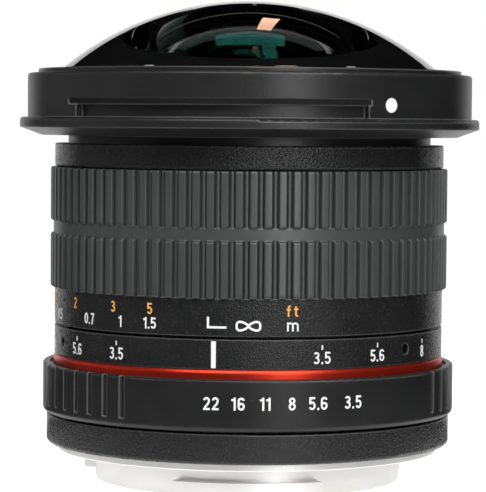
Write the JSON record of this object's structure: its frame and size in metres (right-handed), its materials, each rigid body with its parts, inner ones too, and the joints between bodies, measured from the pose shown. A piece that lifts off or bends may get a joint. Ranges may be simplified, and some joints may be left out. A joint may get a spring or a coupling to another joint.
{
  "type": "fisheye lens",
  "caption": "Manual-focus fisheye lens with a domed front glass, ribbed rubber focus ring, clicking aperture ring, working iris and a rear bayonet mount.",
  "frame": {"origin": "on the lens axis at the rear rim of the bayonet, the plane that the lens stands on", "axes": "+Z along the lens axis toward the front glass, -Y toward the index line side that faces the viewer, +X to the viewer's right"},
  "size_m": [0.075, 0.075, 0.0779],
  "materials": {
    "black_metal": "satin black, finely textured",
    "inner_black": "matte black anodised",
    "grip_rubber": "matte dark grey",
    "red_trim": "glossy red",
    "white_paint": "satin white",
    "mount_metal": "satin chrome plated brass",
    "screw_steel": "bright steel",
    "black_steel": "blackened steel",
    "blade_steel": "blued spring steel",
    "black_plastic": "matte black",
    "coated_glass": "polished and coated"
  },
  "bodies": {
    "barrel": {"mount_plate": "mount_metal", "mount_screws": "screw_steel", "rear_baffle": "black_plastic", "base_ring": "black_metal", "rear_barrel": "inner_black", "click_ball": "screw_steel", "click_spring": "screw_steel", "index_ring": "black_metal", "index_line": "white_paint", "red_ring": "red_trim", "grub_screws": "black_steel", "main_barrel": "inner_black", "barrel_screws": "screw_steel", "focus_stop_pin": "screw_steel", "upper_barrel": "black_metal", "front_collar": "black_metal", "hood_dot": "white_paint", "lip_ring": "black_metal", "front_element": "coated_glass", "front_cell": "inner_black", "front_cell_screws": "screw_steel", "second_element": "coated_glass", "second_element_ring": "inner_black", "third_element": "coated_glass", "fourth_element": "coated_glass", "front_doublet_ring": "inner_black", "iris_housing": "inner_black", "iris_cover": "inner_black", "iris_screws": "screw_steel"},
    "focus_ring": {"focus_ring": "black_metal", "rubber_grip": "grip_rubber"},
    "focus_cell": {"focus_cell": "inner_black", "follower_pins": "screw_steel", "fifth_element": "coated_glass", "sixth_element": "coated_glass", "seventh_element": "coated_glass", "eighth_element": "coated_glass", "ninth_element": "coated_glass", "tenth_element": "coated_glass", "cell_spacer_1": "inner_black", "cell_spacer_2": "inner_black", "cell_spacer_3": "inner_black", "cell_ring": "inner_black"},
    "aperture_ring": {"aperture_ring": "black_metal", "link_bracket": "inner_black", "link_screw": "screw_steel", "iris_drive_ring": "inner_black"},
    "iris_blade_1": {"iris_blade_1": "blade_steel"},
    "iris_blade_2": {"iris_blade_2": "blade_steel"},
    "iris_blade_3": {"iris_blade_3": "blade_steel"},
    "iris_blade_4": {"iris_blade_4": "blade_steel"},
    "iris_blade_5": {"iris_blade_5": "blade_steel"},
    "iris_blade_6": {"iris_blade_6": "blade_steel"}
  },
  "joints": [
    {"name": "cell_slide", "type": "slide", "parent": "barrel", "child": "focus_cell", "axis": [0, 0, 1], "range_m": [-0.00015, 0.0015]},
    {"name": "focus_turn", "type": "hinge", "parent": "barrel", "child": "focus_ring", "pos_m": [0, 0, 0], "axis": [0, 0, 1], "range_deg": [-11, 112]},
    {"name": "aperture_turn", "type": "hinge", "parent": "barrel", "child": "aperture_ring", "pos_m": [0, 0, 0], "axis": [0, 0, 1], "range_deg": [-38.3, 0]},
    {"name": "blade_1_swing", "type": "hinge", "parent": "barrel", "child": "iris_blade_1", "pos_m": [0.0092, 0, 0.0408], "axis": [0, 0, 1], "range_deg": [-25.01, 0]},
    {"name": "blade_2_swing", "type": "hinge", "parent": "barrel", "child": "iris_blade_2", "pos_m": [0.0046, 0.00797, 0.0408], "axis": [0, 0, 1], "range_deg": [-25.01, 0]},
    {"name": "blade_3_swing", "type": "hinge", "parent": "barrel", "child": "iris_blade_3", "pos_m": [-0.0046, 0.00797, 0.0408], "axis": [0, 0, 1], "range_deg": [-25.01, 0]},
    {"name": "blade_4_swing", "type": "hinge", "parent": "barrel", "child": "iris_blade_4", "pos_m": [-0.0092, 0, 0.0408], "axis": [0, 0, 1], "range_deg": [-25.01, 0]},
    {"name": "blade_5_swing", "type": "hinge", "parent": "barrel", "child": "iris_blade_5", "pos_m": [-0.0046, -0.00797, 0.0408], "axis": [0, 0, 1], "range_deg": [-25.01, 0]},
    {"name": "blade_6_swing", "type": "hinge", "parent": "barrel", "child": "iris_blade_6", "pos_m": [0.0046, -0.00797, 0.0408], "axis": [0, 0, 1], "range_deg": [-25.01, 0]}
  ],
  "couplings": [
    {"joint": "focus_turn", "follows": "cell_slide", "rad_per_m": 1303.2},
    {"joint": "blade_1_swing", "follows": "aperture_turn", "ratio": 0.65274},
    {"joint": "blade_2_swing", "follows": "aperture_turn", "ratio": 0.65274},
    {"joint": "blade_3_swing", "follows": "aperture_turn", "ratio": 0.65274},
    {"joint": "blade_4_swing", "follows": "aperture_turn", "ratio": 0.65274},
    {"joint": "blade_5_swing", "follows": "aperture_turn", "ratio": 0.65274},
    {"joint": "blade_6_swing", "follows": "aperture_turn", "ratio": 0.65274}
  ]
}
